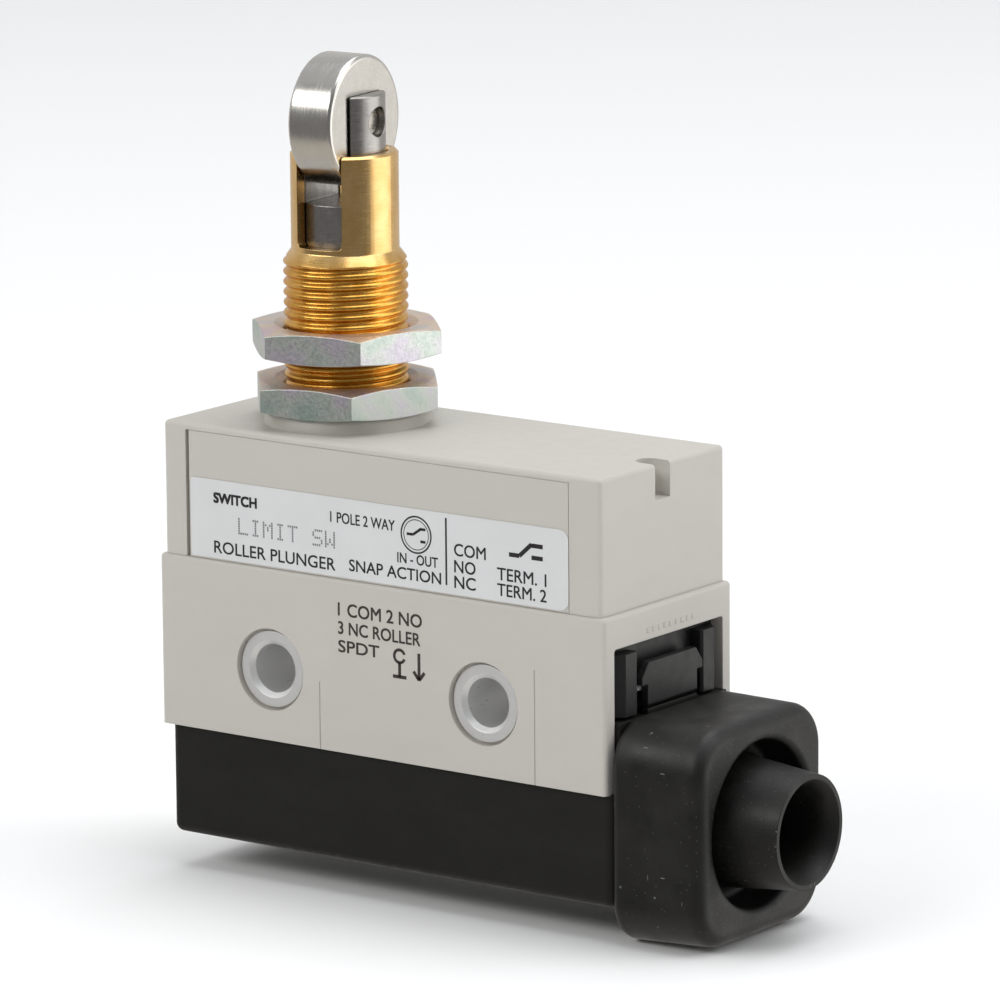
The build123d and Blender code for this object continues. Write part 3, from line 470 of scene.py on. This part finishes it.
HEAD_AXIS = (HEAD_X, 0, 0)
ROLLER_AXIS = (HEAD_X, 0, ROLLER_Z)
X_AXIS, Z_AXIS = 0, 2
THREAD_SHADE_TOP = 0.0397  # below this height the thread's brass is painted deeper in colour, a painted shade for light bouncing in its grooves

case_plastic = moulded_plastic(
    "case_plastic", (0.545, 0.522, 0.478), spread=0.012, roughness=0.46, grain=0.006, specular=0.35
)
black_plastic = moulded_plastic(
    "black_plastic", (0.0125, 0.0122, 0.0105), spread=0.10, roughness=0.50, grain=0.008,
    specular=0.25,
)
latch_plastic = moulded_plastic(
    "latch_plastic", (0.014, 0.0145, 0.014), spread=0.15, roughness=0.42, grain=0.012, specular=0.38
)
pin_plastic = moulded_plastic(
    "pin_plastic", (0.10, 0.10, 0.11), spread=0.06, roughness=0.40, grain=0.004
)
# the brass thread's deeper colours are painted shade for the light bouncing in its grooves
brass_turned = turned_metal(
    "brass_turned", Z_AXIS, HEAD_AXIS, ((0.72, 0.46, 0.17), (0.82, 0.56, 0.25)), roughness=0.24,
    lines=0.0022, thread=(THREAD_SHADE_TOP, (0.64, 0.30, 0.04), (0.82, 0.47, 0.11)),
)
roller_steel = turned_metal(
    "roller_steel", X_AXIS, ROLLER_AXIS, ((0.61, 0.59, 0.55), (0.66, 0.64, 0.60)), roughness=0.22,
    lines=0.0009,
)
plunger_steel = turned_metal(
    "plunger_steel", Z_AXIS, HEAD_AXIS, ((0.31, 0.30, 0.29), (0.40, 0.385, 0.37)), roughness=0.30,
    lines=0.002, edge=0.2,
)
axle_steel = turned_metal(
    "axle_steel", X_AXIS, ROLLER_AXIS, ((0.62, 0.58, 0.52), (0.72, 0.68, 0.62)), roughness=0.25,
    lines=0.002,
)
zinc = zinc_plate("zinc")
boot_rubber = moulded_rubber("boot_rubber", roughness=0.50, dust=True)
seal_rubber = moulded_rubber("seal_rubber", roughness=0.60, dust=False)

terminal_brass = drawn_metal(
    "terminal_brass", ((0.70, 0.52, 0.24), (0.80, 0.62, 0.32)), 0.28, (500, 6000, 500)
)
blade_copper = drawn_metal(
    "blade_copper", ((0.66, 0.38, 0.22), (0.75, 0.46, 0.28)), 0.30, (400, 7000, 400)
)
contact_silver = drawn_metal(
    "contact_silver", ((0.74, 0.74, 0.72), (0.84, 0.84, 0.82)), 0.34, (3000, 3000, 3000)
)
spring_wire = drawn_metal(
    "spring_wire", ((0.50, 0.50, 0.51), (0.64, 0.64, 0.65)), 0.22, (2500, 2500, 5000)
)
latch_wire = drawn_metal(
    "latch_wire", ((0.78, 0.78, 0.77), (0.88, 0.88, 0.87)), 0.30, (5000, 500, 5000), metallic=0.35
)
aluminium = drawn_metal(
    "aluminium", ((0.84, 0.84, 0.83), (0.87, 0.87, 0.86)), 0.34, (4000, 900, 4000), metallic=0.62
)

label_paper = label_film()
ink_black = printing_ink("ink_black", (0.020, 0.017, 0.018), strength=0.97)
ink_brown = printing_ink("ink_brown", (0.040, 0.024, 0.022), strength=0.92)
ink_faint = printing_ink("ink_faint", (0.16, 0.15, 0.16), strength=0.70)

NODE_SURFACES = {
    "lower_case": case_plastic,
    "upper_case": case_plastic,
    "front_cover": case_plastic,
    "case_gasket": seal_rubber,
    "cover_gasket": seal_rubber,
    "barrel_gasket": seal_rubber,
    "pin_seal": seal_rubber,
    "plunger_seal": seal_rubber,
    "rating_label": label_paper,
    "mounting_eyelets": aluminium,
    "threaded_barrel": brass_turned,
    "lower_nut": zinc,
    "upper_nut": zinc,
    "plunger": plunger_steel,
    "pin_retainer": spring_wire,
    "roller_axle": axle_steel,
    "roller": roller_steel,
    "switch_pin": pin_plastic,
    "return_spring": spring_wire,
    "overtravel_spring": spring_wire,
    "common_terminal": terminal_brass,
    "normally_open_terminal": terminal_brass,
    "normally_closed_terminal": terminal_brass,
    "open_contact": contact_silver,
    "closed_contact": contact_silver,
    "moving_contact": contact_silver,
    "snap_blade": blade_copper,
    "terminal_screws": zinc,
    "terminal_washers": zinc,
    "latch_bracket": latch_plastic,
    "latch_pin": latch_wire,
    "cover_latch": latch_plastic,
    "terminal_cover": black_plastic,
    "cable_boot": boot_rubber,
}


def dress(mesh, surface):
    mesh.materials.clear()
    mesh.materials.append(surface.material)


for node_name, node_surface in NODE_SURFACES.items():
    dress(NODES[node_name].data, node_surface)


# ---------------------------------------------------------------- pieces

def add_piece(name, mesh, surface, body, replaced=()):
    dress(mesh, surface)
    piece = bpy.data.objects.new(name, mesh)
    bpy.context.scene.collection.objects.link(piece)
    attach(piece, body)
    if replaced:
        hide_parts(*replaced)
    return piece


def smooth(mesh, degrees):
    """Smooth shading, with edges sharper than this kept crisp."""
    mesh.polygons.foreach_set("use_smooth", [True] * len(mesh.polygons))
    work = bmesh.new()
    work.from_mesh(mesh)
    limit = math.radians(degrees)
    for edge in work.edges:
        edge.smooth = len(edge.link_faces) != 2 or edge.calc_face_angle(0) < limit
    work.to_mesh(mesh)
    work.free()


# Thread of the barrel: M12 x 1, its groove running round as one helix.
THREAD_R = 6.0 * MM
PITCH = 1.0 * MM
THREAD_DEPTH = 0.34 * MM
THREAD_FOOT = 24.3 * MM
THREAD_TOP = 39.1 * MM
RUN_IN = 0.5 * MM            # height over which the groove deepens at the foot
CONE_DROP = 0.35 * MM        # how far below the thread's top its closing cone begins
CONE_SLOPE = 0.75
CHAMFER_TOP = 40.0 * MM
GUIDE_R = 5.2 * MM           # plain outside above the thread
BORE_CLEAR = 4.6 * MM        # faces nearer to the axis than this belong to the bore
STEPS_ROUND, STEPS_PER_PITCH = 160, 16


def thread_radius(z, angle):
    """Radius of the thread's surface at a height and an angle."""
    phase = (z / PITCH - angle / (2 * math.pi)) % 1.0
    groove = 0.5 - 0.5 * math.cos(2 * math.pi * phase)
    return THREAD_R - THREAD_DEPTH * groove**1.3 * min(1.0, (z - THREAD_FOOT) / RUN_IN)


def barrel_radius(z, angle):
    """Outside of the lower barrel: plain foot, thread, then a cone up to the guide."""
    cone = THREAD_R - (z - (THREAD_TOP - CONE_DROP)) * CONE_SLOPE
    return max(GUIDE_R, min(thread_radius(z, angle), cone))


def make_barrel():
    """The CAD barrel, with its ringed outside exchanged for the helical thread."""
    work = bmesh.new()
    work.from_mesh(NODES["threaded_barrel"].data)
    for z in (THREAD_FOOT, CHAMFER_TOP):
        bmesh.ops.bisect_plane(
            work, geom=work.verts[:] + work.edges[:] + work.faces[:],
            plane_co=(0, 0, z), plane_no=(0, 0, 1),
        )
    ringed = []
    for face in work.faces:
        centre = face.calc_center_median()
        inner = min(math.hypot(v.co.x - HEAD_X, v.co.y) for v in face.verts)
        if THREAD_FOOT < centre.z < CHAMFER_TOP and inner > BORE_CLEAR:
            ringed.append(face)
    bmesh.ops.delete(work, geom=ringed, context="FACES")
    rows = round((CHAMFER_TOP - THREAD_FOOT) / PITCH * STEPS_PER_PITCH)
    rings = []
    for row in range(rows + 1):
        z = THREAD_FOOT + (CHAMFER_TOP - THREAD_FOOT) * row / rows
        ring = []
        for step in range(STEPS_ROUND):
            angle = 2 * math.pi * step / STEPS_ROUND
            radius = barrel_radius(z, angle)
            place = (HEAD_X + radius * math.cos(angle), radius * math.sin(angle), z)
            ring.append(work.verts.new(place))
        rings.append(ring)
    for low, high in zip(rings, rings[1:]):
        for step in range(STEPS_ROUND):
            after = (step + 1) % STEPS_ROUND
            work.faces.new((low[step], low[after], high[after], high[step]))
    mesh = bpy.data.meshes.new("brass_barrel")
    work.to_mesh(mesh)
    work.free()
    return mesh


barrel = add_piece(
    "brass_barrel", make_barrel(), brass_turned, "case", ["threaded_barrel"]
)
smooth(barrel.data, degrees=40)


# Springs: copies of the CAD coils, each on the body it rides. Each row also lists a fixed height on
# that body and the share of its length to keep at full travel.
for spring, body, fixed_z, keep in (
    ("return_spring", "case", 0.023, 0.50),
    ("overtravel_spring", "switch_pin", 0.036, 0.31),
):
    coil = add_piece(
        spring + "_wire", NODES[spring].data.copy(), spring_wire, body, [spring]
    )
    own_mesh(coil)


# Printing.  Each mark is drawn in millimetres on the plane of its face: x along it, z up.
LABEL_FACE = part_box("rating_label")[0].y
CASE_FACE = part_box("lower_case")[0].y
INK_THICK = 0.012 * MM
INK_ROOT = 0.003 * MM        # how far a mark reaches into its face
INK_LAYER = 0.001 * MM       # step between the shifted copies that thicken a word
ARC_STEP = 9                 # degrees of an arc that one straight piece spans
DOT_TALL = 1.15              # height of a printed dot over its width


class Print:
    """Flat marks on one face, gathered into one piece."""

    def __init__(self, name, face, surface):
        self.name, self.face, self.surface = name, face, surface
        self.work = bmesh.new()

    def polygon(self, points):
        """One filled outline, points going round anticlockwise."""
        front = [self.work.verts.new((x * MM, self.face - INK_THICK, z * MM)) for x, z in points]
        back = [self.work.verts.new((x * MM, self.face + INK_ROOT, z * MM)) for x, z in points]
        self.work.faces.new(front)
        self.work.faces.new(back[::-1])
        for i, corner in enumerate(front):
            after = (i + 1) % len(front)
            self.work.faces.new((corner, back[i], back[after], front[after]))

    def bar(self, x0, z0, x1, z1):
        self.polygon([(x0, z0), (x1, z0), (x1, z1), (x0, z1)])

    def line(self, x0, z0, x1, z1, width):
        """A straight stroke."""
        length = math.hypot(x1 - x0, z1 - z0)
        dx, dz = -(z1 - z0) / length * width / 2, (x1 - x0) / length * width / 2
        self.polygon([
            (x0 - dx, z0 - dz), (x1 - dx, z1 - dz), (x1 + dx, z1 + dz), (x0 + dx, z0 + dz),
        ])

    def arc(self, x, z, radius, width, start=0, sweep=360):
        """A ring, or part of one."""
        steps = round(sweep / ARC_STEP)
        for step in range(steps):
            turns = [math.radians(start + sweep * (step + k) / steps) for k in (0, 1)]
            inner, outer = (
                [(x + r * math.cos(t), z + r * math.sin(t)) for t in turns]
                for r in (radius - width / 2, radius + width / 2)
            )
            self.polygon([inner[0], outer[0], outer[1], inner[1]])

    def text(self, words, x, z, height, length, weight):
        """Words whose capitals are so high, stretched to a length; weight thickens the strokes."""
        curve = bpy.data.curves.new(self.name, "FONT")
        curve.body = words
        curve.resolution_u = 4
        curve.extrude = 0.5
        holder = bpy.data.objects.new(self.name, curve)
        bpy.context.scene.collection.objects.link(holder)
        bpy.context.view_layer.update()
        graph = bpy.context.evaluated_depsgraph_get()
        mesh = bpy.data.meshes.new_from_object(holder.evaluated_get(graph))
        bpy.data.objects.remove(holder)
        low_x = min(v.co.x for v in mesh.vertices)
        high_x = max(v.co.x for v in mesh.vertices)
        high_y = max(v.co.y for v in mesh.vertices)
        wide, high = (length - weight) / (high_x - low_x), (height - weight) / high_y
        flat = [((v.co.x - low_x) * wide, v.co.y * high, v.co.z > 0) for v in mesh.vertices]
        corners = ((0, 0), (weight, 0), (0, weight), (weight, weight))
        for layer, (right, up) in enumerate(corners):
            front = self.face - INK_THICK - layer * INK_LAYER
            for v, (across, above, is_front) in zip(mesh.vertices, flat):
                depth = front if is_front else self.face + INK_ROOT
                v.co = ((x + across + right) * MM, depth, (z + above + up) * MM)
            self.work.from_mesh(mesh)
        bpy.data.meshes.remove(mesh)

    def dots(self, rows, x, z, pitch_x, pitch_z, size):
        """Dot matrix print, from rows of spaces and marks, top row first."""
        for i, row in enumerate(rows):
            for j, mark in enumerate(row):
                if mark != " ":
                    left, low = x + j * pitch_x, z + (len(rows) - 1 - i) * pitch_z
                    self.bar(left, low, left + size, low + size * DOT_TALL)

    def done(self):
        bmesh.ops.recalc_face_normals(self.work, faces=self.work.faces)
        mesh = bpy.data.meshes.new(self.name)
        self.work.to_mesh(mesh)
        self.work.free()
        return add_piece(self.name, mesh, self.surface, "case")


label_print = Print("label_print", LABEL_FACE, ink_black)
label_print.text("SWITCH", -19.5, 15.55, 1.05, 5.3, 0.11)
label_print.text("ROLLER PLUNGER", -19.5, 10.65, 1.2, 14.7, 0.03)
label_print.text("1 POLE 2 WAY", -5.35, 15.35, 1.05, 7.7, 0.03)
label_print.text("IN - OUT", 2.6, 12.4, 1.0, 4.8, 0.03)
label_print.text("SNAP ACTION", -3.15, 10.85, 1.15, 10.9, 0.03)
label_print.bar(8.27, 10.9, 8.47, 17.35)
label_print.text("COM", 9.3, 13.85, 1.2, 3.7, 0.03)
label_print.text("NO", 9.3, 12.25, 1.2, 2.5, 0.03)
label_print.text("NC", 9.3, 10.75, 1.2, 2.5, 0.03)
label_print.text("TERM. 1", 14.3, 12.15, 1.2, 5.7, 0.03)
label_print.text("TERM. 2", 14.3, 10.65, 1.2, 5.7, 0.03)
# a changeover contact in a ring, and the two contacts beside it
label_print.arc(4.85, 15.3, 1.75, 0.16)
label_print.arc(4.85, 15.3, 1.45, 0.08)
label_print.line(3.75, 15.3, 4.5, 15.3, 0.26)
label_print.line(4.5, 15.3, 5.45, 15.95, 0.26)
label_print.line(5.35, 15.9, 5.95, 15.9, 0.26)
label_print.line(5.35, 14.7, 5.95, 14.7, 0.26)
label_print.line(15.7, 14.75, 16.9, 14.75, 0.42)
label_print.line(16.9, 14.75, 18.3, 16.0, 0.42)
label_print.line(18.3, 15.9, 19.6, 15.9, 0.42)
label_print.line(18.3, 14.75, 19.6, 14.75, 0.42)
label_print.done()

DOT_LETTERS = {
    "L": ("#    ", "#    ", "#    ", "#    ", "#    ", "#    ", "#####"),
    "I": (" ### ", "  #  ", "  #  ", "  #  ", "  #  ", "  #  ", " ### "),
    "M": ("#   #", "## ##", "# # #", "# # #", "#   #", "#   #", "#   #"),
    "T": ("#####", "  #  ", "  #  ", "  #  ", "  #  ", "  #  ", "  #  "),
    "S": (" ####", "#    ", "#    ", " ### ", "    #", "    #", "#### "),
    "W": ("#   #", "#   #", "#   #", "# # #", "# # #", "## ##", "#   #"),
    " ": ("     ",) * 7,
}
faint_print = Print("faint_print", LABEL_FACE, ink_faint)
faint_print.dots(
    [" ".join(DOT_LETTERS[letter][row] for letter in "LIMIT SW") for row in range(7)],
    -16.5, 12.8, 0.25, 0.235, 0.17,
)
faint_print.done()

case_print = Print("case_print", CASE_FACE, ink_brown)
case_print.text("1 COM 2 NO", -4.4, 6.4, 1.3, 10.0, 0.05)
case_print.text("3 NC ROLLER", -4.4, 4.62, 1.25, 9.8, 0.05)
case_print.text("SPDT", -4.4, 2.85, 1.2, 4.9, 0.05)
# a plunger with its stroke, as a small drawing
case_print.arc(2.9, 3.35, 0.62, 0.30, 20, 320)
case_print.line(2.9, 1.35, 2.9, 2.75, 0.34)
case_print.line(2.1, 1.35, 3.7, 1.35, 0.34)
case_print.line(5.2, 1.4, 5.2, 3.9, 0.34)
case_print.line(5.2, 1.3, 4.55, 2.1, 0.34)
case_print.line(5.2, 1.3, 5.85, 2.1, 0.34)
case_print.done()


# A row of small raised bars above the latch's window, where the photograph has a mould mark.
END_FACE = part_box("lower_case")[1].x
MARK_COUNT = 9
MARK_START, MARK_STEP, MARK_LOW = -3.6, 0.92, 7.4
MARK_WIDTHS = (0.51, 0.33, 0.33)
MARK_TALL = 0.5
MARK_SUNK, MARK_PROUD = -0.02 * MM, 0.03 * MM
BLOCK_FACES = ((4, 5, 6, 7), (0, 4, 7, 3), (1, 2, 6, 5), (3, 7, 6, 2), (0, 1, 5, 4), (3, 2, 1, 0))


def make_end_marks():
    work = bmesh.new()
    for index in range(MARK_COUNT):
        wide = MARK_WIDTHS[index % len(MARK_WIDTHS)] * MM
        left = (MARK_START + index * MARK_STEP) * MM
        verts = [
            work.verts.new((END_FACE + lift, left + across, (MARK_LOW + up) * MM))
            for lift in (MARK_SUNK, MARK_PROUD)
            for across, up in ((0, 0), (wide, 0), (wide, MARK_TALL), (0, MARK_TALL))
        ]
        for face in BLOCK_FACES:
            work.faces.new([verts[k] for k in face])
    bmesh.ops.recalc_face_normals(work, faces=work.faces)
    mesh = bpy.data.meshes.new("end_marks")
    work.to_mesh(mesh)
    work.free()
    return mesh


add_piece("end_marks", make_end_marks(), case_plastic, "case")
